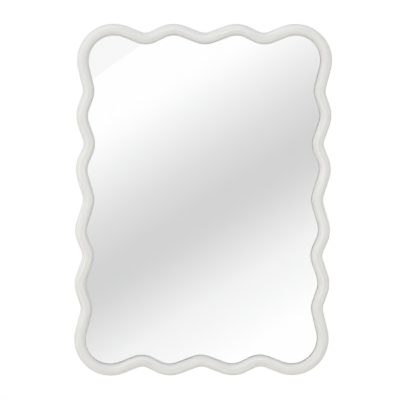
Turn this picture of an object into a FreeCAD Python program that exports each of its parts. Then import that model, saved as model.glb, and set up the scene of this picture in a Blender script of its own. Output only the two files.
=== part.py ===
import FreeCAD, Part
import math
import os
from FreeCAD import Placement, Rotation, Vector

# A wall mirror in a wavy, round-fronted, painted wooden frame.
# Millimetres. +X right, +Z up, the front faces -Y, the wall is the plane Y = 0,
# and the origin is the point of the wall behind the mirror's middle.

doc = FreeCAD.newDocument("WavyMirror")
sheet = doc.addObject("Spreadsheet::Sheet", "Sizes")

# Driving dimensions, one cell each
SIZES = [
    # Centreline of the wavy bar, seen from the front: round waves joined by straight flanks
    ("lobe_radius", 74.0, "corner lobe"),
    ("crest_radius", 60.0, "outward waves"),
    ("trough_radius", 44.0, "inward waves"),
    ("rail_wave_depth", 21.0, "crest to trough on the top and bottom rails"),
    ("rail_middle_flank", 41.2, "straight between the middle trough and a crest"),
    ("rail_outer_flank", 23.7, "straight between a crest and the outer trough"),
    ("rail_lobe_flank", 34.4, "straight between the outer trough and the corner lobe"),
    ("stile_wave_depth", 17.5, "crest to trough on the sides"),
    ("stile_end_wave_depth", 14.6, "depth of the trough beside the corner lobe"),
    ("stile_middle_flank", 44.7, "straight between the middle trough and the inner crest"),
    ("stile_inner_flank", 21.2, "straight between the inner crest and the inner trough"),
    ("stile_outer_flank", 34.0, "straight between the inner trough and the outer crest"),
    ("stile_end_flank", 26.8, "straight between the outer crest and the outer trough"),
    ("stile_lobe_flank", 45.0, "straight between the outer trough and the corner lobe"),
    # Section of the bar
    ("bar_width", 27.0, "across the bar, seen from the front"),
    ("bar_depth", 24.0, "front to back"),
    ("bar_round", 12.5, "rounding of the two front edges"),
    ("back_edge_round", 1.0, "easing of the outer back edge"),
    ("rebate_width", 8.0, "ledge that carries the glass"),
    # Stack in the rebate, from the back
    ("backboard_thickness", 3.0, ""),
    ("film_thickness", 0.2, ""),
    ("coating_thickness", 0.2, ""),
    ("glass_thickness", 4.0, ""),
    ("tape_thickness", 0.8, ""),
    ("glass_clearance", 1.5, "glass edge to rebate wall"),
    ("backboard_clearance", 0.8, "backboard edge to rebate wall"),
    ("tape_clearance", 1.0, "tape edge to rebate wall"),
    ("tape_setback", 0.3, "tape edge back from the sight edge"),
    # Loose tenons across the mitres
    ("tenon_length", 24.0, ""),
    ("tenon_width", 12.0, ""),
    ("tenon_thickness", 4.0, ""),
    ("tenon_round", 1.9, "rounding of the tenon's long edges"),
    ("tenon_back_cover", 8.0, "wood between the tenon and the frame's back"),
    ("tenon_offset", 3.0, "tenon's middle outside the centreline"),
    ("tenon_side_clearance", 0.1, "glue gap on the faces"),
    ("tenon_end_clearance", 0.5, "glue gap at each end"),
    # Turn buttons and their pan head screws
    ("button_thickness", 1.5, ""),
    ("button_root_radius", 6.5, "wide end, round the screw"),
    ("button_tip_radius", 4.0, "narrow end"),
    ("button_reach", 20.0, "screw to the centre of the narrow end"),
    ("button_edge_round", 0.5, ""),
    ("button_fit", 0.08, "screw to the button's hole, on the radius"),
    ("screw_line_offset", 4.0, "screws outside the bar's centreline"),
    ("screw_radius", 1.5, ""),
    ("screw_wood_length", 13.0, "screw below the frame's back"),
    ("screw_tip_length", 3.0, ""),
    ("pilot_fit", 0.05, "screw to the wood, on the radius"),
    ("pilot_end_gap", 0.5, "wood hole past the screw's tip"),
    ("drive_length", 3.0, "cross recess, from end to end"),
    ("drive_width", 0.8, "cross recess, across one slot"),
    ("drive_depth", 1.0, "cross recess"),
    ("pan_head_radius", 3.1, ""),
    ("pan_head_height", 1.8, ""),
    ("pan_head_edge", 0.9, "height of the head's upright edge"),
    # Hanger straps, rings and their countersunk screws
    ("strap_width", 9.0, ""),
    ("strap_thickness", 1.4, ""),
    ("strap_below", 18.0, "strap below the trough's middle"),
    ("strap_above", 16.0, "ring axis above the trough's middle"),
    ("strap_end_round", 4.0, ""),
    ("strap_jog", 5.0, "length over which the strap lifts to the ring"),
    ("ring_lift", 0.3, "ring at rest above the strap"),
    ("ring_wire_radius", 1.1, ""),
    ("ring_fit", 0.05, "wire to the curled strap, on the radius"),
    ("ring_corner_radius", 3.0, "bend beside the straight leg"),
    ("ring_bow_radius", 10.0, "half circle of the ring"),
    ("curl_angle", 250.0, "how far the strap curls round the wire, degrees"),
    ("flat_screw_upper", 5.5, "upper strap screw above the trough's middle"),
    ("flat_screw_lower", 11.5, "lower strap screw below the trough's middle"),
    ("flat_head_radius", 2.8, ""),
    ("flat_screw_fit", 0.1, "screw to the strap's hole, on the radius"),
    # Wall bumpers, which set the gap to the wall
    ("wall_gap", 6.0, "frame's back to the wall"),
    ("bumper_radius", 6.0, ""),
    ("bumper_flat_radius", 3.5, "face on the wall"),
    ("bumper_offset", 3.5, "bumpers outside the bar's centreline"),
    ("bumper_turn", 30.0, "bumpers round the corner lobe, from the side, degrees"),
]
for row, (alias, value, note) in enumerate(SIZES, start=1):
    sheet.set("A%d" % row, alias)
    sheet.set("B%d" % row, str(value))
    sheet.set("C%d" % row, note)
    sheet.setAlias("B%d" % row, alias)
doc.recompute()


def size(alias):
    return float(sheet.get(alias))


TOLERANCE = 1e-4
HALF_BAR = size("bar_width") / 2
REBATE_EDGE = size("rebate_width") - HALF_BAR
REBATE_STACK = " + ".join(
    "Sizes.%s_thickness" % layer for layer in ("backboard", "film", "coating", "glass", "tape")
)


# Wavy outline: circles joined by straight flanks, always walked clockwise

def half_pitch(first, second, depth, flank):
    """Distance along the bar from the middle of one wave to the middle of the next."""
    radii = size(first + "_radius") + size(second + "_radius")
    return math.sqrt(size(flank) ** 2 + 2 * radii * size(depth) - size(depth) ** 2)


RAIL_CREST_X = half_pitch("trough", "crest", "rail_wave_depth", "rail_middle_flank")
RAIL_TROUGH_X = RAIL_CREST_X + half_pitch("crest", "trough", "rail_wave_depth", "rail_outer_flank")
LOBE_X = RAIL_TROUGH_X + half_pitch("trough", "lobe", "rail_wave_depth", "rail_lobe_flank")
INNER_CREST_Z = half_pitch("trough", "crest", "stile_wave_depth", "stile_middle_flank")
INNER_TROUGH_Z = INNER_CREST_Z + half_pitch("crest", "trough", "stile_wave_depth", "stile_inner_flank")
OUTER_CREST_Z = INNER_TROUGH_Z + half_pitch("trough", "crest", "stile_wave_depth", "stile_outer_flank")
OUTER_TROUGH_Z = OUTER_CREST_Z + half_pitch("crest", "trough", "stile_end_wave_depth", "stile_end_flank")
LOBE_Z = OUTER_TROUGH_Z + half_pitch("trough", "lobe", "stile_end_wave_depth", "stile_lobe_flank")
RAIL_LEVEL = LOBE_Z + size("lobe_radius")
STILE_LEVEL = LOBE_X + size("lobe_radius")


class Wave:
    """One circle of the centreline: bulge is 1 for an outward wave, -1 for an inward one."""

    def __init__(self, x, z, radius, bulge):
        self.centre = Vector(x, z, 0)
        self.radius = radius
        self.bulge = bulge

    def point(self, normal, offset):
        return self.centre + normal * (self.bulge * self.radius + offset)


def flank_normal(first, second):
    """Outward normal of the straight flank between two neighbouring waves."""
    step = second.centre - first.centre
    along = Vector(step).normalize()
    outward = Vector(-along.y, along.x, 0)
    cosine = first.bulge * (first.radius + second.radius) / step.Length
    return along * cosine + outward * math.sqrt(1 - cosine * cosine)


def lobe(side_x, side_z):
    return Wave(side_x * LOBE_X, side_z * LOBE_Z, size("lobe_radius"), 1)


def rail_waves(side_z):
    """Waves of the top rail (1) from left to right, or of the bottom rail (-1) from right to left."""
    crest_z = side_z * (RAIL_LEVEL - size("crest_radius"))
    trough_z = side_z * (RAIL_LEVEL - size("rail_wave_depth") + size("trough_radius"))
    places = [
        (-RAIL_TROUGH_X, -1),
        (-RAIL_CREST_X, 1),
        (0, -1),
        (RAIL_CREST_X, 1),
        (RAIL_TROUGH_X, -1),
    ]
    waves = []
    for x, bulge in places:
        radius = size("crest_radius") if bulge > 0 else size("trough_radius")
        waves.append(Wave(side_z * x, crest_z if bulge > 0 else trough_z, radius, bulge))
    return waves


def stile_waves(side_x):
    """Waves of the right stile (1) from top to bottom, or of the left stile (-1) from bottom to top."""
    upper = [
        (OUTER_TROUGH_Z, size("stile_end_wave_depth"), -1),
        (OUTER_CREST_Z, 0, 1),
        (INNER_TROUGH_Z, size("stile_wave_depth"), -1),
        (INNER_CREST_Z, 0, 1),
    ]
    lower = [(-z, depth, bulge) for z, depth, bulge in reversed(upper)]
    waves = []
    for z, depth, bulge in upper + [(0, size("stile_wave_depth"), -1)] + lower:
        radius = size("crest_radius") if bulge > 0 else size("trough_radius")
        x = STILE_LEVEL - depth - bulge * radius
        waves.append(Wave(side_x * x, side_x * z, radius, bulge))
    return waves


def arc(centre, start, end):
    """Arc of less than a half circle between two points, whichever way it turns."""
    first = start - centre
    last = end - centre
    if first.cross(last).z < 0:
        first, last = last, first
    circle = Part.Circle(centre, Vector(0, 0, 1), first.Length)
    return Part.ArcOfCircle(circle, math.atan2(first.y, first.x), math.atan2(last.y, last.x))


def wave_edges(waves, normals, offset):
    """Arcs and flanks at an offset from the centreline; normals has one more entry than waves."""
    edges = []
    for index, wave in enumerate(waves):
        start = wave.point(normals[index], offset)
        end = wave.point(normals[index + 1], offset)
        edges.append(arc(wave.centre, start, end))
        if index + 1 < len(waves):
            edges.append(Part.LineSegment(end, waves[index + 1].point(normals[index + 1], offset)))
    return edges


def open_normals(waves, first, last):
    between = [flank_normal(a, b) for a, b in zip(waves, waves[1:])]
    return [first] + between + [last]


def loop_edges(offset):
    """The whole closed outline at an offset from the centreline."""
    waves = [lobe(-1, 1)] + rail_waves(1) + [lobe(1, 1)] + stile_waves(1)
    waves += [lobe(1, -1)] + rail_waves(-1) + [lobe(-1, -1)] + stile_waves(-1)
    closing = flank_normal(waves[-1], waves[0])
    edges = wave_edges(waves, open_normals(waves, closing, closing), offset)
    edges.append(Part.LineSegment(waves[-1].point(closing, offset), waves[0].point(closing, offset)))
    return edges


def diagonal(side_x, side_z):
    """Direction of the mitre in one corner."""
    return Vector(side_x, side_z, 0).normalize()


def bar_edges(waves, first_corner, last_corner):
    """Closed outline of one mitred piece of the frame."""
    normals = open_normals(waves, diagonal(*first_corner), diagonal(*last_corner))
    edges = wave_edges(waves, normals, HALF_BAR) + wave_edges(waves, normals, -HALF_BAR)
    for wave, normal in ((waves[0], normals[0]), (waves[-1], normals[-1])):
        edges.append(Part.LineSegment(wave.point(normal, HALF_BAR), wave.point(normal, -HALF_BAR)))
    return edges


# Helpers for bodies, sketches and features

def make_body(name):
    body = doc.addObject("PartDesign::Body", name)
    body.Label = name
    return body


def origin_plane(body, role):
    return [item for item in body.Origin.OriginFeatures if item.Role == role][0]


def make_sketch(body, name, plane, geometry, height="0"):
    """Sketch on one of the body's own planes, lifted along the plane's normal."""
    sketch = body.newObject("Sketcher::SketchObject", body.Name + "_" + name)
    sketch.AttachmentSupport = [(origin_plane(body, plane), "")]
    sketch.MapMode = "FlatFace"
    sketch.setExpression(".AttachmentOffset.Base.z", height)
    sketch.addGeometry(geometry, False)
    return sketch


def pad(body, sketch, length, backward=False):
    feature = body.newObject("PartDesign::Pad", sketch.Name + "_pad")
    feature.Profile = sketch
    feature.setExpression("Length", length)
    feature.Reversed = backward
    doc.recompute()
    return feature


def pocket(body, sketch, depth):
    """Cut from the sketch along its plane's normal, and check that it cut something."""
    before = body.Shape.Volume
    feature = body.newObject("PartDesign::Pocket", sketch.Name + "_pocket")
    feature.Profile = sketch
    feature.setExpression("Length", depth)
    feature.Reversed = True
    doc.recompute()
    if not body.Shape.Volume < before:
        raise RuntimeError("%s cuts nothing" % feature.Name)
    return feature


def fillet(body, base, edges, radius):
    feature = body.newObject("PartDesign::Fillet", base.Name + "_" + radius.split(".")[-1])
    feature.Base = (base, edges)
    feature.setExpression("Radius", radius)
    doc.recompute()
    return feature


def revolve(body, sketch):
    feature = body.newObject("PartDesign::Revolution", sketch.Name + "_turned")
    feature.Profile = sketch
    feature.ReferenceAxis = (sketch, ["V_Axis"])
    feature.Angle = 360
    doc.recompute()
    return feature


def polygon(points):
    return [Part.LineSegment(a, b) for a, b in zip(points, points[1:] + points[:1])]


def rectangle(centre, along, across, length, width):
    """Four sides of a rectangle turned to the direction along."""
    end = along * (length / 2)
    side = across * (width / 2)
    return polygon([centre + end + side, centre - end + side, centre - end - side, centre + end - side])


def circle(x, z, radius):
    return Part.Circle(Vector(x, z, 0), Vector(0, 0, 1), radius)


# Places of the fasteners, on the frame's back

SCREW_RAIL_Z = RAIL_LEVEL + size("screw_line_offset")
SCREW_CREST_X = STILE_LEVEL + size("screw_line_offset")
SCREW_TROUGH_X = SCREW_CREST_X - size("stile_wave_depth")

# name, x, z and turn of each button, which points inward from its screw
BUTTONS = [
    ("turn_button_top_left", -RAIL_CREST_X, SCREW_RAIL_Z, 0),
    ("turn_button_top_right", RAIL_CREST_X, SCREW_RAIL_Z, 0),
    ("turn_button_bottom_left", -RAIL_CREST_X, -SCREW_RAIL_Z, 180),
    ("turn_button_bottom_right", RAIL_CREST_X, -SCREW_RAIL_Z, 180),
    ("turn_button_left_upper", -SCREW_CREST_X, OUTER_CREST_Z, -90),
    ("turn_button_left_middle", -SCREW_TROUGH_X, 0, -90),
    ("turn_button_left_lower", -SCREW_CREST_X, -OUTER_CREST_Z, -90),
    ("turn_button_right_upper", SCREW_CREST_X, OUTER_CREST_Z, 90),
    ("turn_button_right_middle", SCREW_TROUGH_X, 0, 90),
    ("turn_button_right_lower", SCREW_CREST_X, -OUTER_CREST_Z, 90),
]
HANGERS = [("left", -SCREW_TROUGH_X), ("right", SCREW_TROUGH_X)]
HANGER_Z = INNER_TROUGH_Z
HANGER_SCREWS = [
    (x, HANGER_Z + dz)
    for _, x in HANGERS
    for dz in (size("flat_screw_upper"), -size("flat_screw_lower"))
]
BUTTON_SCREWS = [(x, z) for _, x, z, _ in BUTTONS]
SCREW_PLACES = BUTTON_SCREWS + HANGER_SCREWS
CORNERS = [("top_left", -1, 1), ("top_right", 1, 1), ("bottom_left", -1, -1), ("bottom_right", 1, -1)]


def on_back(x, z, turn=0):
    """Placement on the frame's back, local +Y towards the wall."""
    return Placement(Vector(x, -size("wall_gap"), z), Rotation(Vector(0, 1, 0), turn))


# Frame

def matching_edges(shape, curves, y):
    """Names of the shape's edges that run along the given outline curves at depth y."""
    middles = []
    for curve in curves:
        point = curve.value((curve.FirstParameter + curve.LastParameter) / 2)
        middles.append(Vector(point.x, y, point.y))
    names = []
    for number, edge in enumerate(shape.Edges, start=1):
        middle = edge.valueAt((edge.FirstParameter + edge.LastParameter) / 2)
        if any(middle.isEqual(other, TOLERANCE) for other in middles):
            names.append("Edge%d" % number)
    return names


def tenon_slot(corner):
    """Slot outline for one corner's loose tenon, across the mitre."""
    outward = diagonal(*corner)
    along = Vector(-outward.y, outward.x, 0)
    centre = lobe(*corner).point(outward, size("tenon_offset"))
    length = size("tenon_length") + 2 * size("tenon_end_clearance")
    width = size("tenon_width") + 2 * size("tenon_side_clearance")
    return rectangle(centre, along, outward, length, width)


def frame_bar(name, waves, corners, screws):
    """One mitred bar: wavy pad, round front, rebate, tenon slots and screw holes."""
    body = make_body(name)
    outline = make_sketch(body, "outline", "XZ_Plane", bar_edges(waves, *corners), "Sizes.wall_gap")
    blank = pad(body, outline, "Sizes.bar_depth")
    back = -size("wall_gap")
    front = back - size("bar_depth")
    normals = open_normals(waves, diagonal(*corners[0]), diagonal(*corners[1]))
    outer = wave_edges(waves, normals, HALF_BAR)
    inner = wave_edges(waves, normals, -HALF_BAR)
    rounded = fillet(body, blank, matching_edges(blank.Shape, outer + inner, front), "Sizes.bar_round")
    fillet(body, rounded, matching_edges(rounded.Shape, outer, back), "Sizes.back_edge_round")

    rebate = make_sketch(body, "rebate", "XZ_Plane", loop_edges(REBATE_EDGE), "Sizes.wall_gap")
    pocket(body, rebate, REBATE_STACK)
    slots = [side for corner in corners for side in tenon_slot(corner)]
    slot_height = "Sizes.wall_gap + Sizes.tenon_back_cover - Sizes.tenon_side_clearance"
    tenons = make_sketch(body, "tenon_slots", "XZ_Plane", slots, slot_height)
    pocket(body, tenons, "Sizes.tenon_thickness + 2 * Sizes.tenon_side_clearance")
    hole_radius = size("screw_radius") + size("pilot_fit")
    holes = make_sketch(
        body, "screw_holes", "XZ_Plane", [circle(x, z, hole_radius) for x, z in screws], "Sizes.wall_gap"
    )
    pocket(body, holes, "Sizes.screw_wood_length + Sizes.pilot_end_gap")
    return body


def on_rail(place):
    return abs(place[0]) < RAIL_TROUGH_X


def rail_screws(side_z):
    return [place for place in SCREW_PLACES if on_rail(place) and place[1] * side_z > 0]


def stile_screws(side_x):
    return [place for place in SCREW_PLACES if not on_rail(place) and place[0] * side_x > 0]


parts = [
    frame_bar(
        "top_rail",
        [lobe(-1, 1)] + rail_waves(1) + [lobe(1, 1)],
        [(-1, 1), (1, 1)],
        rail_screws(1),
    ),
    frame_bar(
        "bottom_rail",
        [lobe(1, -1)] + rail_waves(-1) + [lobe(-1, -1)],
        [(1, -1), (-1, -1)],
        rail_screws(-1),
    ),
    frame_bar(
        "left_stile",
        [lobe(-1, -1)] + stile_waves(-1) + [lobe(-1, 1)],
        [(-1, -1), (-1, 1)],
        stile_screws(-1),
    ),
    frame_bar(
        "right_stile",
        [lobe(1, 1)] + stile_waves(1) + [lobe(1, -1)],
        [(1, 1), (1, -1)],
        stile_screws(1),
    ),
]


def corner_tenon(corner_name, side_x, side_z):
    """Loose tenon with round long edges, glued across one mitre."""
    body = make_body("corner_tenon_" + corner_name)
    sides = rectangle(
        Vector(0, 0, 0), Vector(1, 0, 0), Vector(0, 1, 0), size("tenon_length"), size("tenon_width")
    )
    outline = make_sketch(body, "outline", "XZ_Plane", sides)
    blank = pad(body, outline, "Sizes.tenon_thickness")
    long_edges = [
        "Edge%d" % number
        for number, edge in enumerate(blank.Shape.Edges, start=1)
        if abs(edge.Length - size("tenon_length")) < TOLERANCE
    ]
    fillet(body, blank, long_edges, "Sizes.tenon_round")
    centre = lobe(side_x, side_z).point(diagonal(side_x, side_z), size("tenon_offset"))
    depth = size("wall_gap") + size("tenon_back_cover")
    turn = 45 * side_x * side_z
    body.Placement = Placement(Vector(centre.x, -depth, centre.y), Rotation(Vector(0, 1, 0), turn))
    return body


parts += [corner_tenon(*corner) for corner in CORNERS]


# Stack in the rebate, each sheet cut to the same waves

def sheet_layer(name, edges, behind, thickness):
    """Flat wavy sheet; behind names the layers between it and the frame's back."""
    body = make_body(name)
    height = " + ".join(["Sizes.wall_gap"] + ["Sizes.%s_thickness" % layer for layer in behind])
    outline = make_sketch(body, "outline", "XZ_Plane", edges, height)
    pad(body, outline, "Sizes.%s_thickness" % thickness)
    return body


glass_outline = REBATE_EDGE - size("glass_clearance")
parts += [
    sheet_layer("backboard", loop_edges(REBATE_EDGE - size("backboard_clearance")), [], "backboard"),
    sheet_layer("safety_film", loop_edges(glass_outline), ["backboard"], "film"),
    sheet_layer("silver_coating", loop_edges(glass_outline), ["backboard", "film"], "coating"),
    sheet_layer("mirror_glass", loop_edges(glass_outline), ["backboard", "film", "coating"], "glass"),
    sheet_layer(
        "glazing_tape",
        loop_edges(REBATE_EDGE - size("tape_clearance")) + loop_edges(size("tape_setback") - HALF_BAR),
        ["backboard", "film", "coating", "glass"],
        "tape",
    ),
]


# Turn buttons and screws

def turn_button(name, x, z, turn):
    """Flat tapered button with a round root and tip, pointing to local -Z."""
    body = make_body(name)
    root, tip = size("button_root_radius"), size("button_tip_radius")
    reach = size("button_reach")
    root_centre, tip_centre = Vector(0, 0, 0), Vector(0, -reach, 0)
    slope = (root - tip) / reach
    side = Vector(math.sqrt(1 - slope * slope), -slope, 0)
    mirrored = Vector(-side.x, side.y, 0)
    upper = Vector(0, root, 0)
    lower = tip_centre - Vector(0, tip, 0)
    edges = [
        arc(root_centre, side * root, upper),
        arc(root_centre, upper, mirrored * root),
        Part.LineSegment(mirrored * root, tip_centre + mirrored * tip),
        arc(tip_centre, tip_centre + mirrored * tip, lower),
        arc(tip_centre, lower, tip_centre + side * tip),
        Part.LineSegment(tip_centre + side * tip, side * root),
    ]
    outline = make_sketch(body, "outline", "XZ_Plane", edges)
    blank = pad(body, outline, "Sizes.button_thickness", backward=True)
    rim = matching_edges(blank.Shape, edges, size("button_thickness"))
    fillet(body, blank, rim, "Sizes.button_edge_round")
    hole = make_sketch(
        body, "hole", "XZ_Plane", [circle(0, 0, size("screw_radius") + size("button_fit"))],
        "-Sizes.button_thickness",
    )
    pocket(body, hole, "Sizes.button_thickness")
    body.Placement = on_back(x, z, turn)
    return body


parts += [turn_button(*button) for button in BUTTONS]


def screw_shank(head_start):
    """Half profile of a shank from the tip up to where the head starts."""
    radius = size("screw_radius")
    tip = -size("screw_wood_length")
    return [
        Vector(0, tip, 0),
        Vector(radius, tip + size("screw_tip_length"), 0),
        Vector(radius, head_start, 0),
    ]


def cross_outline():
    """Twelve sides of the cross recess."""
    far, near = size("drive_length") / 2, size("drive_width") / 2
    quarter = [Vector(far, near, 0), Vector(near, near, 0), Vector(near, far, 0)]
    turns = [Rotation(Vector(0, 0, 1), angle) for angle in (0, 90, 180, 270)]
    return polygon([turn.multVec(point) for turn in turns for point in quarter])


def turned_screw(name, x, z, profile, head_top):
    """Screw turned from its half profile, with a cross recess in the head."""
    body = make_body(name)
    outline = make_sketch(body, "profile", "XY_Plane", profile)
    revolve(body, outline)
    drive = make_sketch(body, "drive", "XZ_Plane", cross_outline(), "-(%s)" % head_top)
    pocket(body, drive, "Sizes.drive_depth")
    body.Placement = on_back(x, z)
    return body


def pan_head_profile():
    """Screw with a domed head that rests on the button."""
    seat = size("button_thickness")
    head, edge = size("pan_head_radius"), seat + size("pan_head_edge")
    top = seat + size("pan_head_height")
    shank = screw_shank(seat)
    rim, crown = Vector(head, edge, 0), Vector(0, top, 0)
    rise = top - edge
    dome = (head * head + rise * rise) / (2 * rise)
    outline = shank + [Vector(head, seat, 0), rim]
    sides = [Part.LineSegment(a, b) for a, b in zip(outline, outline[1:])]
    return sides + [arc(Vector(0, top - dome, 0), rim, crown), Part.LineSegment(crown, outline[0])]


def flat_head_profile():
    """Countersunk screw, flush with the strap."""
    surface = size("strap_thickness")
    head = size("flat_head_radius")
    shank = screw_shank(surface - (head - size("screw_radius")))
    return polygon(shank + [Vector(head, surface, 0), Vector(0, surface, 0)])


def screw_group(name, places, profile, head_top):
    """Alike screws as one node of separate solids."""
    screws = [
        turned_screw("%s_%d" % (name, number), x, z, profile, head_top)
        for number, (x, z) in enumerate(places, start=1)
    ]
    group = doc.addObject("Part::Compound", name)
    group.Label = name
    group.Links = screws
    return group


PAN_HEAD_TOP = "Sizes.button_thickness + Sizes.pan_head_height"
parts += [
    screw_group("turn_button_screws", BUTTON_SCREWS, pan_head_profile(), PAN_HEAD_TOP),
    screw_group("hanger_screws", HANGER_SCREWS, flat_head_profile(), "Sizes.strap_thickness"),
]


# Hangers: a strap curled round the straight leg of a D shaped ring

RING_AXIS_Y = size("strap_thickness") + size("ring_lift") + size("ring_wire_radius") + size("ring_fit")
CURL_INNER = size("ring_wire_radius") + size("ring_fit")
CURL_OUTER = CURL_INNER + size("strap_thickness")


def hanger_strap(side, x):
    """Steel strap seen from the side, padded across its width, then drilled."""
    body = make_body("hanger_strap_" + side)
    bottom, axis_z = -size("strap_below"), size("strap_above")
    jog_z = axis_z - size("strap_jog")
    axis = Vector(RING_AXIS_Y, axis_z, 0)

    def curl_point(radius, degrees):
        turn = math.radians(degrees)
        return axis + Vector(-math.cos(turn), math.sin(turn), 0) * radius

    half, end = size("curl_angle") / 2, size("curl_angle")
    thickness = size("strap_thickness")
    outer = [curl_point(CURL_OUTER, angle) for angle in (0, half, end)]
    inner = [curl_point(CURL_INNER, angle) for angle in (end, half, 0)]
    chain = [inner[2], Vector(thickness, jog_z, 0), Vector(thickness, bottom, 0), Vector(0, bottom, 0)]
    chain += [Vector(0, jog_z, 0), outer[0]]
    edges = [Part.LineSegment(a, b) for a, b in zip(chain, chain[1:])]
    edges += [arc(axis, outer[0], outer[1]), arc(axis, outer[1], outer[2])]
    edges += [Part.LineSegment(outer[2], inner[0])]
    edges += [arc(axis, inner[0], inner[1]), arc(axis, inner[1], inner[2])]
    outline = make_sketch(body, "outline", "YZ_Plane", edges, "-Sizes.strap_width / 2")
    strip = pad(body, outline, "Sizes.strap_width")
    corners = [
        "Edge%d" % number
        for number, edge in enumerate(strip.Shape.Edges, start=1)
        if edge.BoundBox.ZMax < bottom + TOLERANCE and edge.BoundBox.XLength < TOLERANCE
    ]
    fillet(body, strip, corners, "Sizes.strap_end_round")
    places = [size("flat_screw_upper"), -size("flat_screw_lower")]
    drill = size("screw_radius") + size("flat_screw_fit")
    centres = make_sketch(
        body, "screw_holes", "XZ_Plane", [circle(0, z, drill) for z in places], "-Sizes.strap_thickness"
    )
    doc.recompute()
    before = body.Shape.Volume
    hole = body.newObject("PartDesign::Hole", body.Name + "_countersinks")
    hole.Profile = centres
    doc.recompute()
    hole.Reversed = True
    hole.DepthType = "ThroughAll"
    hole.setExpression("Diameter", "2 * (Sizes.screw_radius + Sizes.flat_screw_fit)")
    hole.HoleCutType = "Countersink"
    hole.setExpression("HoleCutDiameter", "2 * (Sizes.flat_head_radius + Sizes.flat_screw_fit)")
    hole.HoleCutCountersinkAngle = 90
    doc.recompute()
    if not body.Shape.Volume < before:
        raise RuntimeError("%s cuts nothing" % hole.Name)
    body.Placement = on_back(x, HANGER_Z)
    return body


def ring_path():
    """Closed D in the plane of the frame's back: straight leg, two bends and the bow."""
    bend, bow = size("ring_corner_radius"), size("ring_bow_radius")
    leg = bow - bend
    return [
        Part.LineSegment(Vector(-leg, 0, 0), Vector(leg, 0, 0)),
        arc(Vector(leg, -bend, 0), Vector(leg, 0, 0), Vector(bow, -bend, 0)),
        arc(Vector(0, -bend, 0), Vector(bow, -bend, 0), Vector(0, -bend - bow, 0)),
        arc(Vector(0, -bend, 0), Vector(0, -bend - bow, 0), Vector(-bow, -bend, 0)),
        arc(Vector(-leg, -bend, 0), Vector(-bow, -bend, 0), Vector(-leg, 0, 0)),
    ]


def hanger_ring(side, x):
    """Wire D that hangs from the strap's curl; its leg lies on the local X axis."""
    body = make_body("hanger_ring_" + side)
    path = make_sketch(body, "path", "XZ_Plane", ring_path())
    wire = make_sketch(body, "wire", "YZ_Plane", [circle(0, 0, size("ring_wire_radius"))])
    doc.recompute()
    sweep = body.newObject("PartDesign::AdditivePipe", body.Name + "_sweep")
    sweep.Profile = wire
    sweep.Spine = path
    doc.recompute()
    place = on_back(x, HANGER_Z + size("strap_above"))
    place.Base.y = RING_AXIS_Y - size("wall_gap")
    body.Placement = place
    return body


for side, x in HANGERS:
    parts.append(hanger_strap(side, x))
    parts.append(hanger_ring(side, x))


# Wall bumpers

def wall_bumper(corner_name, side_x, side_z):
    """Rubber dome, flat where it meets the wall."""
    body = make_body("wall_bumper_" + corner_name)
    height, base, flat = size("wall_gap"), size("bumper_radius"), size("bumper_flat_radius")
    rim, edge = Vector(base, 0, 0), Vector(flat, height, 0)
    centre_y = (flat * flat + height * height - base * base) / (2 * height)
    profile = [
        Part.LineSegment(Vector(0, 0, 0), rim),
        arc(Vector(0, centre_y, 0), rim, edge),
        Part.LineSegment(edge, Vector(0, height, 0)),
        Part.LineSegment(Vector(0, height, 0), Vector(0, 0, 0)),
    ]
    revolve(body, make_sketch(body, "profile", "XY_Plane", profile))
    turn = math.radians(size("bumper_turn"))
    outward = Vector(side_x * math.cos(turn), side_z * math.sin(turn), 0)
    place = lobe(side_x, side_z).point(outward, size("bumper_offset"))
    body.Placement = on_back(place.x, place.y)
    return body


parts += [wall_bumper(*corner) for corner in CORNERS]

doc.recompute()
for item in doc.Objects:
    if "Invalid" in item.State or "Error" in item.State:
        raise RuntimeError("%s failed: %s" % (item.Name, item.State))
for part in parts:
    if part.Shape.isNull() or not part.Shape.isValid():
        raise RuntimeError("%s has no valid shape" % part.Label)

os.makedirs("parts", exist_ok=True)
for part in parts:
    part.Shape.exportStep("parts/%s.step" % part.Label)
    box = part.Shape.BoundBox
    print("%-28s %2d solid(s) %12.1f mm3  %6.1f x %6.1f x %6.1f" % (
        part.Label, len(part.Shape.Solids), part.Shape.Volume, box.XLength, box.YLength, box.ZLength))
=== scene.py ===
import math

import bpy
from mathutils import Matrix, Vector


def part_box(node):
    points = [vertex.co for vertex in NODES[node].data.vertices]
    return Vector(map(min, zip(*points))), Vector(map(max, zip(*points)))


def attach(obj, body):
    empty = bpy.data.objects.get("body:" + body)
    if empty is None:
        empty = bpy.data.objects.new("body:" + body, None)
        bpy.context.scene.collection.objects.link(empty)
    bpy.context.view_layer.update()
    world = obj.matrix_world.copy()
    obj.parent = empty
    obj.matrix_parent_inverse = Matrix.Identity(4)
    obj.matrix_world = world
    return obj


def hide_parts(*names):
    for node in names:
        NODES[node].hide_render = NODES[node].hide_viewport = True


# A wall mirror in a wavy, round-fronted, off-white painted frame, in a plain white studio.
# Metres. +X right, +Z up, the front faces -Y and the origin is on the wall plane.

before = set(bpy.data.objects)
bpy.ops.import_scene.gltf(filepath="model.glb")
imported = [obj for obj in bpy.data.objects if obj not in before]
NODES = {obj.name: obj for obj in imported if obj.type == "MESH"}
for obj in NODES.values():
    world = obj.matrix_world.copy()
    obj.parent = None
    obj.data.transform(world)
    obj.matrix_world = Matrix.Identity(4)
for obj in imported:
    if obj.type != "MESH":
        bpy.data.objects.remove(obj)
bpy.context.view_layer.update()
SCENE = bpy.context.scene
SCENE.view_settings.view_transform = "Standard"

MM = 0.001
CORNERS = ("top_left", "top_right", "bottom_left", "bottom_right")
SIDES = ("left", "right")
BLACK = (0.0, 0.0, 0.0)
WHITE = (1.0, 1.0, 1.0)

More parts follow.
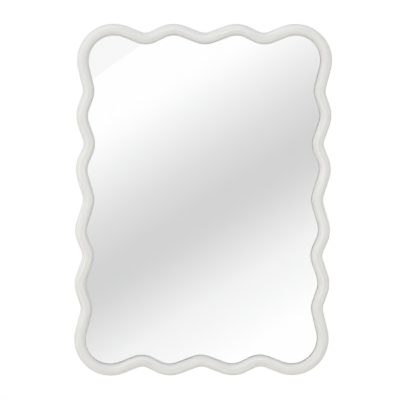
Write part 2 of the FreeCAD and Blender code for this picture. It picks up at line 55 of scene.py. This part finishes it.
# The photograph's view: 400 pixels square, seen from slightly left and above.
# The scale and the origin's pixel are those of the plane through the origin that faces the camera.
IMAGE_PIXELS = 400
METRES_PER_PIXEL = 0.002385
ORIGIN_PIXEL_X = 202.5
ORIGIN_PIXEL_Y = 199.27
CAMERA_AZIMUTH = math.radians(-6.1)
CAMERA_ELEVATION = math.radians(6.4)
CAMERA_ROLL = math.radians(0.64)
CAMERA_DISTANCE = 25.0
CAMERA_REACH = 100.0
SENSOR_WIDTH = 36.0

# Studio light that falls on the paint: brightness and tint from six directions
LIGHT_FRONT = (1.366, 1.391, 1.392)
LIGHT_BACK = (0.8, 0.8, 0.8)
LIGHT_LEFT = (1.026, 1.05, 1.047)
LIGHT_RIGHT = (0.676, 0.745, 0.846)
LIGHT_ABOVE = (0.4, 0.4, 0.4)
LIGHT_BELOW = (0.55, 0.53, 0.5)

# Large soft lamp, high on the left in front of the mirror
KEY_TOWARDS = (-0.66, -0.56, 0.50)
KEY_SPREAD = math.radians(70.0)
KEY_COLOUR = WHITE
KEY_STRENGTH = 0.576

# Floor: its colour where it is seen, the colour that it scatters on to other things,
# and a glow that makes it white where it is seen and lit
FLOOR_HEIGHT = -0.9
FLOOR_SIZE = 40.0
FLOOR_PALE = (0.86, 0.855, 0.84)
FLOOR_BOUNCE = (0.935, 0.866, 0.808)
FLOOR_GLOW = 0.345

# Soft grey band and grey corner that the mirror shows, on a card in front of it.
# The band's middle line and the corner's edge each run through two pixels.
# The band's stops are metres on the mirror from that line, towards the lower right, with the grey there.
SILVER_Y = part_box("silver_coating")[0].y
CARD_DISTANCE = 1.2
CARD_SIZE = 2.2
CARD_FADE_START = 0.5
CARD_FADE_END = 0.9
BAND_PIXEL = (91.0, 283.0)
BAND_FAR_PIXEL = (310.0, 144.0)
BAND_STOPS = [
    (-0.31, 1.0),
    (-0.275, 0.98),
    (-0.225, 0.91),
    (-0.105, 0.735),
    (-0.02, 0.655),
    (0.02, 0.655),
    (0.052, 0.677),
    (0.11, 0.765),
    (0.19, 0.895),
    (0.262, 0.94),
    (0.30, 0.97),
    (0.34, 1.0),
]
CORNER_PIXEL = (94.9, 77.4)
CORNER_FAR_PIXEL = (140.2, 45.5)
CORNER_GREY = 0.935

# Middle line of the frame's bar, which the brush marks follow. At its crests it lies LINE from the
# mirror's middle and at its troughs DEPTH less, and it goes round each corner in an arc.
LOBE_RADIUS = 74.0 * MM
STILE_LINE = 291.5 * MM
RAIL_LINE = 407.6 * MM
STILE_DEPTH = 17.5 * MM
RAIL_DEPTH = 21.0 * MM
LOBE_X = STILE_LINE - LOBE_RADIUS
LOBE_Z = RAIL_LINE - LOBE_RADIUS

# Its troughs and crests from a piece's middle to the corner's arc: places along the piece, each with
# the share of the depth that the line has risen by there
STILE_TURNS = [
    (0.0, 0.0),
    (73.0 * MM, 1.0),
    (134.5 * MM, 0.0),
    (201.5 * MM, 1.0),
    (261.0 * MM, 0.17),
    (LOBE_Z, 1.0),
]
RAIL_TURNS = [
    (0.0, 0.0),
    (75.0 * MM, 1.0),
    (142.0 * MM, 0.0),
    (LOBE_X, 1.0),
]

# Coarse and fine brush marks: cycles per metre across and along the bar, and how many cycles they wander
BRUSH_CYCLES = ((170.0, 5.0), (560.0, 16.0))
BRUSH_WANDER = 2.5

# Colours of the materials: places in a pattern from 0 to 1, with the colour there
PAINT_STREAKS = [(0.34, (0.657, 0.657, 0.636)), (0.66, (0.877, 0.875, 0.853))]
PAINT_TINTS = [(0.35, (0.776, 0.764, 0.724)), (0.65, (0.766, 0.774, 0.768))]
BEECH_GRAIN = [(0.3, (0.52, 0.33, 0.17)), (0.7, (0.66, 0.46, 0.27))]
HARDBOARD_FIBRES = [(0.30, (0.165, 0.092, 0.048)), (0.72, (0.315, 0.192, 0.108))]
HARDBOARD_TINTS = [(0.35, (0.19, 0.110, 0.058)), (0.65, (0.27, 0.165, 0.092))]
ZINC_CLOUDS = [(0.35, (0.47, 0.48, 0.485)), (0.65, (0.60, 0.60, 0.57))]
NICKEL_CLOUDS = [(0.35, (0.46, 0.445, 0.415)), (0.65, (0.57, 0.555, 0.52))]
RUBBER_SPECKS = [(0.35, (0.60, 0.60, 0.58)), (0.65, (0.68, 0.68, 0.665))]
FOAM_CELLS = [(0.0, (0.74, 0.74, 0.73)), (0.6, (0.84, 0.84, 0.825))]
FILM_WEAVE = [(0.0, (0.25, 0.29, 0.33)), (1.0, (0.33, 0.37, 0.42))]
SILVER_CLOUDS = [(0.3, (0.995, 0.993, 0.995)), (0.7, (1.0, 0.998, 1.0))]
GLASS_CLOUDS = [(0.3, (0.996, 1.0, 0.998)), (0.7, WHITE)]

# How far light spreads in the rubber, and how far each face of the glass pane is set in
RUBBER_SPREAD = 2.0 * MM
PANE_GAP = 0.05 * MM


# Node helpers

def add(tree, kind, links=None, **values):
    """Adds a node; values are its attributes or unlinked inputs, links its linked inputs."""
    node = tree.nodes.new(kind)
    for key, value in values.items():
        if hasattr(node, key):
            setattr(node, key, value)
        else:
            node.inputs[key.replace("_", " ")].default_value = value
    for key, socket in (links or {}).items():
        tree.links.new(socket, node.inputs[key])
    return node


def math_node(tree, operation, first, second=0.0, clamp=False):
    node = add(tree, "ShaderNodeMath", operation=operation, use_clamp=clamp)
    for index, value in enumerate((first, second)):
        if isinstance(value, (int, float)):
            node.inputs[index].default_value = value
        else:
            tree.links.new(value, node.inputs[index])
    return node.outputs[0]


def difference(tree, first, second):
    return math_node(tree, "SUBTRACT", first, second)


def product(tree, first, second):
    return math_node(tree, "MULTIPLY", first, second)


def ramp(tree, factor, stops, interpolation="LINEAR"):
    """Colour ramp from (place, colour or grey) stops."""
    node = add(tree, "ShaderNodeValToRGB", {"Fac": factor})
    node.color_ramp.interpolation = interpolation
    elements = node.color_ramp.elements
    while len(elements) < len(stops):
        elements.new(0.5)
    for element, (place, colour) in zip(elements, stops):
        element.position = place
        if isinstance(colour, (int, float)):
            colour = (colour, colour, colour)
        element.color = (*colour, 1.0)
    return node.outputs["Color"]


def mix_colour(tree, factor, first, second, blend="MIX"):
    """Mix of two colours, each a value or a socket."""
    node = add(tree, "ShaderNodeMix", data_type="RGBA", blend_type=blend)
    factor_input, first_input, second_input = node.inputs[0], node.inputs[6], node.inputs[7]
    for socket, value in ((factor_input, factor), (first_input, first), (second_input, second)):
        if isinstance(value, bpy.types.NodeSocket):
            tree.links.new(value, socket)
        elif isinstance(value, (int, float)):
            socket.default_value = value
        else:
            socket.default_value = (*value, 1.0)
    return node.outputs[2]


def mix_shader(tree, factor, first, second):
    return add(tree, "ShaderNodeMixShader", {0: factor, 1: first.outputs[0], 2: second.outputs[0]})


def coordinates(tree, kind):
    """X, Y and Z outputs of this kind of texture coordinate."""
    place = add(tree, "ShaderNodeTexCoord").outputs[kind]
    return add(tree, "ShaderNodeSeparateXYZ", {0: place}).outputs


def shown_factor(tree):
    """1 for camera, mirror and glass rays that no matt surface has scattered, else 0."""
    path = add(tree, "ShaderNodeLightPath").outputs
    seen = math_node(tree, "MAXIMUM", path["Is Camera Ray"], path["Is Glossy Ray"])
    seen = math_node(tree, "MAXIMUM", seen, path["Is Transmission Ray"])
    direct = math_node(tree, "LESS_THAN", path["Diffuse Depth"], 0.5)
    return product(tree, seen, direct)


# Camera

def make_camera():
    """Camera at the photograph's angle, with the directions to its right and up."""
    azimuth, elevation = CAMERA_AZIMUTH, CAMERA_ELEVATION
    back = Vector((
        math.sin(azimuth) * math.cos(elevation),
        -math.cos(azimuth) * math.cos(elevation),
        math.sin(elevation),
    ))
    level = Vector((math.cos(azimuth), math.sin(azimuth), 0.0))
    upright = back.cross(level)
    right = level * math.cos(CAMERA_ROLL) + upright * math.sin(CAMERA_ROLL)
    up = back.cross(right)
    middle_pixel = IMAGE_PIXELS / 2
    across = (middle_pixel - ORIGIN_PIXEL_X) * METRES_PER_PIXEL
    above = (ORIGIN_PIXEL_Y - middle_pixel) * METRES_PER_PIXEL
    data = bpy.data.cameras.new("camera")
    data.sensor_width = SENSOR_WIDTH
    data.lens = SENSOR_WIDTH * CAMERA_DISTANCE / (IMAGE_PIXELS * METRES_PER_PIXEL)
    data.clip_end = CAMERA_REACH
    camera = bpy.data.objects.new("camera", data)
    SCENE.collection.objects.link(camera)
    matrix = Matrix((right, up, back)).transposed().to_4x4()
    matrix.translation = back * CAMERA_DISTANCE + right * across + up * above
    camera.matrix_world = matrix
    SCENE.camera = camera
    return camera, right, up


# Light: a world that is white where it is seen and softly graded where it lights things, and a lamp

def directional_light(tree):
    """Six colours blended by the squares of the direction's parts."""
    parts = coordinates(tree, "Generated")
    total = None
    for axis, low, high in (
        ("X", LIGHT_LEFT, LIGHT_RIGHT),
        ("Y", LIGHT_FRONT, LIGHT_BACK),
        ("Z", LIGHT_BELOW, LIGHT_ABOVE),
    ):
        part = parts[axis]
        colour = mix_colour(tree, math_node(tree, "GREATER_THAN", part, 0.0), low, high)
        scaled = mix_colour(tree, product(tree, part, part), BLACK, colour)
        total = scaled if total is None else mix_colour(tree, 1.0, total, scaled, "ADD")
    return total


def make_world():
    world = bpy.data.worlds.new("studio")
    SCENE.world = world
    world.use_nodes = True
    tree = world.node_tree
    tree.nodes.clear()
    lighting = add(tree, "ShaderNodeBackground", {"Color": directional_light(tree)})
    white = add(tree, "ShaderNodeBackground", Color=(*WHITE, 1.0))
    mixed = mix_shader(tree, shown_factor(tree), lighting, white)
    add(tree, "ShaderNodeOutputWorld", {"Surface": mixed.outputs[0]})


def make_key_light():
    data = bpy.data.lights.new("key_light", "SUN")
    data.energy = KEY_STRENGTH
    data.angle = KEY_SPREAD
    data.color = KEY_COLOUR
    lamp = bpy.data.objects.new("key_light", data)
    lamp.matrix_world = Vector(KEY_TOWARDS).to_track_quat("Z", "Y").to_matrix().to_4x4()
    SCENE.collection.objects.link(lamp)


# Material helpers

def new_material(name):
    material = bpy.data.materials.new(name)
    material.use_nodes = True
    material.node_tree.nodes.clear()
    return material, material.node_tree


def with_surface(material, shader):
    """The material, with this shader as its surface."""
    add(material.node_tree, "ShaderNodeOutputMaterial", {"Surface": shader.outputs[0]})
    return material


def pattern_place(tree, cycles):
    """Object coordinates times cycles per metre, one number or one for each axis."""
    if isinstance(cycles, float):
        cycles = (cycles, cycles, cycles)
    place = add(tree, "ShaderNodeTexCoord").outputs["Object"]
    return add(tree, "ShaderNodeMapping", {"Vector": place}, Scale=cycles).outputs[0]


def noise(tree, vector, detail, roughness=0.5, distortion=0.0):
    node = add(
        tree, "ShaderNodeTexNoise", {"Vector": vector},
        Scale=1.0, Detail=detail, Roughness=roughness, Distortion=distortion,
    )
    return node.outputs["Fac"]


def bump(tree, height, distance, strength, normal=None):
    """Surface direction for a relief this deep, on top of another one if there is one."""
    links = {"Height": height}
    if normal is not None:
        links["Normal"] = normal
    return add(tree, "ShaderNodeBump", links, Strength=strength, Distance=distance).outputs[0]


def varied(tree, pattern, low, high):
    """A pattern from 0 to 1, stretched from low to high."""
    return add(tree, "ShaderNodeMapRange", {"Value": pattern}, To_Min=low, To_Max=high).outputs[0]


def principled(tree, colour, roughness, relief=None, **values):
    """Principled shader; its roughness is a number or a socket."""
    links = {"Base Color": colour}
    if isinstance(roughness, bpy.types.NodeSocket):
        links["Roughness"] = roughness
    else:
        values["Roughness"] = roughness
    if relief is not None:
        links["Normal"] = relief
    return add(tree, "ShaderNodeBsdfPrincipled", links, **values)


# Stage: the floor, and the card that the mirror shows

def add_plane(name, size, matrix):
    half = size / 2
    mesh = bpy.data.meshes.new(name)
    corners = [(-half, -half, 0), (half, -half, 0), (half, half, 0), (-half, half, 0)]
    mesh.from_pydata(corners, [], [(0, 1, 2, 3)])
    plane = bpy.data.objects.new(name, mesh)
    plane.matrix_world = matrix
    SCENE.collection.objects.link(plane)
    return plane


def make_floor():
    """Pale floor below the mirror, with the mirror's shadow. Nothing of it shows from below."""
    floor = add_plane("floor", FLOOR_SIZE, Matrix.Translation((0.0, 0.0, FLOOR_HEIGHT)))
    material, tree = new_material("pale_floor")
    seen = shown_factor(tree)
    colour = mix_colour(tree, seen, FLOOR_BOUNCE, FLOOR_PALE)
    paint = add(tree, "ShaderNodeBsdfDiffuse", {"Color": colour})
    glow = add(tree, "ShaderNodeEmission", {"Strength": product(tree, seen, FLOOR_GLOW)})
    lit = add(tree, "ShaderNodeAddShader", {0: paint.outputs[0], 1: glow.outputs[0]})
    clear = add(tree, "ShaderNodeBsdfTransparent")
    below = add(tree, "ShaderNodeNewGeometry").outputs["Backfacing"]
    floor.data.materials.append(with_surface(material, mix_shader(tree, below, lit, clear)))


def on_mirror_and_card(pixel, camera, camera_right, camera_up):
    """Places on the silvering, and on the card that it reflects, that the photograph shows at a pixel."""
    aim = camera_right * (pixel[0] - ORIGIN_PIXEL_X) + camera_up * (ORIGIN_PIXEL_Y - pixel[1])
    eye = camera.matrix_world.translation
    ray = aim * METRES_PER_PIXEL - eye
    on_mirror = eye + ray * ((SILVER_Y - eye.y) / ray.y)
    reflected = Vector((ray.x, -ray.y, ray.z))
    return on_mirror, on_mirror + reflected * ((CARD_DISTANCE + SILVER_Y) / ray.y)


def make_card(camera, camera_right, camera_up):
    """Card with a soft grey band along its X axis and a grey corner, seen only in mirrors and glass."""
    places = [
        on_mirror_and_card(pixel, camera, camera_right, camera_up)
        for pixel in (BAND_PIXEL, BAND_FAR_PIXEL, CORNER_PIXEL, CORNER_FAR_PIXEL)
    ]
    (start_on_mirror, start), (end_on_mirror, end), (_, corner), (_, corner_far) = places
    spread = (end - start).length / (end_on_mirror - start_on_mirror).length
    along = (end - start).normalized()
    across = Vector((along.z, 0.0, -along.x))
    facing = along.cross(across)
    middle = (start + end) / 2
    matrix = Matrix((along, across, facing)).transposed().to_4x4()
    matrix.translation = middle
    card = add_plane("reflected_card", CARD_SIZE, matrix)
    card.visible_camera = False
    card.visible_diffuse = False
    card.visible_shadow = False
    card.visible_volume_scatter = False

    material, tree = new_material("grey_band")
    parts = coordinates(tree, "Object")
    low, high = BAND_STOPS[0][0], BAND_STOPS[-1][0]
    share = add(
        tree, "ShaderNodeMapRange", {"Value": parts["Y"]},
        From_Min=low * spread, From_Max=high * spread,
    )
    band = ramp(tree, share.outputs[0], [((at - low) / (high - low), grey) for at, grey in BAND_STOPS])

    run = (corner_far - corner).normalized()
    outward = Vector((-run.z, 0.0, run.x))
    reach_along = product(tree, parts["X"], outward.dot(along))
    reach_across = product(tree, parts["Y"], outward.dot(across))
    reached = math_node(tree, "ADD", reach_along, reach_across)
    beyond = math_node(tree, "GREATER_THAN", reached, outward.dot(corner - middle))
    greys = mix_colour(tree, beyond, band, (CORNER_GREY, CORNER_GREY, CORNER_GREY))

    fade = add(
        tree, "ShaderNodeMapRange", {"Value": math_node(tree, "ABSOLUTE", parts["X"])},
        From_Min=CARD_FADE_START, From_Max=CARD_FADE_END, interpolation_type="SMOOTHSTEP",
    )
    colour = mix_colour(tree, fade.outputs[0], greys, WHITE)
    glow = add(tree, "ShaderNodeEmission", {"Color": colour})
    clear = add(tree, "ShaderNodeBsdfTransparent")
    card.data.materials.append(with_surface(material, mix_shader(tree, shown_factor(tree), clear, glow)))


# Materials

def along_the_bar(tree, side, along, line, depth, lobe, turns):
    """Distance off the bar's middle line, and run along the piece and the corner's arc from the mitre.

    side and along are distances from the mirror's middle across and along the piece. line, depth and
    turns give the waves of the middle line, and lobe the place along the piece where its arc starts.
    """
    share = math_node(tree, "DIVIDE", along, lobe, clamp=True)
    stops = [(place / lobe, risen) for place, risen in turns]
    rise = product(tree, ramp(tree, share, stops, "EASE"), depth)
    off_wave = difference(tree, difference(tree, side, line - depth), rise)

    above_lobe = difference(tree, side, line - LOBE_RADIUS)
    past_lobe = math_node(tree, "MAXIMUM", difference(tree, along, lobe), 0.0)
    before_lobe = math_node(tree, "MAXIMUM", difference(tree, lobe, along), 0.0)
    square_sum = math_node(
        tree, "ADD", math_node(tree, "POWER", above_lobe, 2.0), math_node(tree, "POWER", past_lobe, 2.0)
    )
    off_arc = difference(tree, math_node(tree, "SQRT", square_sum), LOBE_RADIUS)
    turned = product(tree, math_node(tree, "ARCTAN2", past_lobe, above_lobe), LOBE_RADIUS)
    to_mitre = difference(tree, LOBE_RADIUS * math.pi / 4, turned)
    run = math_node(tree, "ADD", before_lobe, to_mitre)

    on_arc = math_node(tree, "GREATER_THAN", along, lobe)
    off = add(tree, "ShaderNodeMix", {"Factor": on_arc, "A": off_wave, "B": off_arc})
    return off.outputs["Result"], run


def frame_paint(name, along, side, direction, **waves):
    """Satin off-white paint over wood, whose faint brush marks follow the bar round its waves.

    along and side name the axes along and across the piece. direction is 1 or -1, so that the marks
    run on over a mitre between a piece with the one and a piece with the other.
    """
    material, tree = new_material(name)
    parts = coordinates(tree, "Object")
    off, run = along_the_bar(
        tree, math_node(tree, "ABSOLUTE", parts[side]), math_node(tree, "ABSOLUTE", parts[along]), **waves
    )
    cloud = noise(tree, pattern_place(tree, cycles=14.0), detail=3.0)
    wander = product(tree, cloud, BRUSH_WANDER)
    marks = []
    for across_cycles, along_cycles in BRUSH_CYCLES:
        brushed = add(tree, "ShaderNodeCombineXYZ", {
            "X": product(tree, run, along_cycles * direction),
            "Y": math_node(tree, "ADD", product(tree, off, across_cycles), wander),
            "Z": product(tree, parts["Y"], across_cycles),
        })
        marks.append(noise(tree, brushed.outputs[0], detail=2.0, roughness=0.6))
    grain = product(tree, math_node(tree, "ADD", *marks), 1 / len(BRUSH_CYCLES))
    streaks = ramp(tree, grain, PAINT_STREAKS)
    colour = mix_colour(tree, factor=0.3, first=streaks, second=ramp(tree, cloud, PAINT_TINTS))
    peel = noise(tree, pattern_place(tree, cycles=900.0), detail=1.0)
    relief = bump(tree, grain, distance=0.08 * MM, strength=0.6)
    relief = bump(tree, peel, distance=0.02 * MM, strength=0.4, normal=relief)
    rough = varied(tree, grain, low=0.40, high=0.56)
    return with_surface(material, principled(tree, colour, rough, relief, Specular_IOR_Level=0.4))


def wood_material():
    """Pale beech, with its grain upright."""
    material, tree = new_material("beech")
    place = pattern_place(tree, cycles=(300.0, 300.0, 40.0))
    grain = noise(tree, place, detail=5.0, roughness=0.6, distortion=0.4)
    colour = ramp(tree, grain, BEECH_GRAIN)
    relief = bump(tree, grain, distance=0.1 * MM, strength=0.6)
    return with_surface(material, principled(tree, colour, roughness=0.6, relief=relief))


def hardboard_material():
    """Brown hardboard: pressed fibres, with a hard, faintly glossy face."""
    material, tree = new_material("hardboard")
    fibres = noise(tree, pattern_place(tree, cycles=320.0), detail=6.0, roughness=0.7, distortion=1.6)
    blotches = noise(tree, pattern_place(tree, cycles=22.0), detail=4.0)
    browns = ramp(tree, fibres, HARDBOARD_FIBRES)
    colour = mix_colour(tree, factor=0.4, first=browns, second=ramp(tree, blotches, HARDBOARD_TINTS))
    rough = varied(tree, fibres, low=0.38, high=0.6)
    relief = bump(tree, fibres, distance=0.06 * MM, strength=0.5)
    return with_surface(material, principled(tree, colour, rough, relief))


def metal_material(name, clouds, roughness, brush_cycles):
    """Plated steel with fine brushing and a little uneven plating."""
    material, tree = new_material(name)
    brushed = noise(tree, pattern_place(tree, brush_cycles), detail=3.0)
    colour = ramp(tree, noise(tree, pattern_place(tree, cycles=260.0), detail=3.0), clouds)
    rough = varied(tree, brushed, low=roughness * 0.8, high=roughness * 1.3)
    relief = bump(tree, brushed, distance=0.01 * MM, strength=0.3)
    return with_surface(material, principled(tree, colour, rough, relief, Metallic=1.0))


def rubber_material():
    """Milky rubber, which light enters a little."""
    material, tree = new_material("bumper_rubber")
    specks = noise(tree, pattern_place(tree, cycles=700.0), detail=2.0)
    shader = principled(
        tree, ramp(tree, specks, RUBBER_SPECKS), varied(tree, specks, low=0.35, high=0.5),
        Subsurface_Weight=0.3, Subsurface_Radius=(RUBBER_SPREAD, RUBBER_SPREAD, RUBBER_SPREAD),
    )
    return with_surface(material, shader)


def foam_material():
    """White foam with small cells."""
    material, tree = new_material("tape_foam")
    place = pattern_place(tree, cycles=2500.0)
    cells = add(tree, "ShaderNodeTexVoronoi", {"Vector": place}, Scale=1.0).outputs["Distance"]
    colour = ramp(tree, cells, FOAM_CELLS)
    relief = bump(tree, cells, distance=0.05 * MM, strength=0.5)
    return with_surface(material, principled(tree, colour, roughness=0.85, relief=relief))


def film_material():
    """Blue-grey safety film with a woven look."""
    material, tree = new_material("safety_film")
    place = pattern_place(tree, cycles=400.0)
    weave = add(tree, "ShaderNodeTexBrick", {"Vector": place}, Scale=1.0).outputs["Fac"]
    colour = ramp(tree, weave, FILM_WEAVE)
    relief = bump(tree, weave, distance=0.02 * MM, strength=0.5)
    return with_surface(material, principled(tree, colour, roughness=0.55, relief=relief))


def silver_material():
    """Silvering, bright and even, with the faintest cloudiness."""
    material, tree = new_material("silvering")
    colour = ramp(tree, noise(tree, pattern_place(tree, cycles=6.0), detail=2.0), SILVER_CLOUDS)
    return with_surface(material, principled(tree, colour, roughness=0.0, Metallic=1.0))


def glass_material():
    """Clear float glass, which lets light through to what it covers, and back."""
    material, tree = new_material("clear_glass")
    colour = ramp(tree, noise(tree, pattern_place(tree, cycles=6.0), detail=2.0), GLASS_CLOUDS)
    shader = principled(tree, colour, roughness=0.0, IOR=1.5, Transmission_Weight=1.0)
    clear = add(tree, "ShaderNodeBsdfTransparent")
    path = add(tree, "ShaderNodeLightPath").outputs
    for kind in ("Is Shadow Ray", "Is Diffuse Ray"):
        shader = mix_shader(tree, path[kind], shader, clear)
    return with_surface(material, shader)


def give(material, *names):
    """Gives a material to these CAD nodes."""
    for name in names:
        piece = NODES[name]
        if not piece.material_slots:
            piece.data.materials.append(None)
        for slot in piece.material_slots:
            slot.material = material


# Glass pane

def make_pane():
    """The glass, each face set in by a hair so that it doesn't coincide with the silvering or the tape."""
    mesh = NODES["mirror_glass"].data.copy()
    mesh.name = "glass_pane"
    low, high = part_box("mirror_glass")
    middle = (low.y + high.y) / 2
    for vertex in mesh.vertices:
        vertex.co.y += PANE_GAP if vertex.co.y < middle else -PANE_GAP
    pane = bpy.data.objects.new("glass_pane", mesh)
    SCENE.collection.objects.link(pane)
    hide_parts("mirror_glass")
    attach(pane, "frame")
    mesh.materials.clear()
    mesh.materials.append(glass_material())


camera, camera_right, camera_up = make_camera()
make_world()
make_key_light()
make_floor()
make_card(camera, camera_right, camera_up)
make_pane()

stile_paint = frame_paint(
    "frame_paint_upright", along="Z", side="X", direction=-1.0,
    line=STILE_LINE, depth=STILE_DEPTH, lobe=LOBE_Z, turns=STILE_TURNS,
)
rail_paint = frame_paint(
    "frame_paint_level", along="X", side="Z", direction=1.0,
    line=RAIL_LINE, depth=RAIL_DEPTH, lobe=LOBE_X, turns=RAIL_TURNS,
)
zinc = metal_material("zinc_plate", ZINC_CLOUDS, roughness=0.34, brush_cycles=(90.0, 90.0, 900.0))
nickel = metal_material("nickel_plate", NICKEL_CLOUDS, roughness=0.24, brush_cycles=(900.0, 900.0, 90.0))
give(stile_paint, "left_stile", "right_stile")
give(rail_paint, "top_rail", "bottom_rail")
give(wood_material(), *["corner_tenon_" + corner for corner in CORNERS])
give(hardboard_material(), "backboard")
give(film_material(), "safety_film")
give(silver_material(), "silver_coating")
give(foam_material(), "glazing_tape")
give(rubber_material(), *["wall_bumper_" + corner for corner in CORNERS])
give(zinc, *[name for name in NODES if name.startswith("turn_button_")])
give(nickel, "hanger_screws")
for side in SIDES:
    give(nickel, "hanger_strap_" + side, "hanger_ring_" + side)
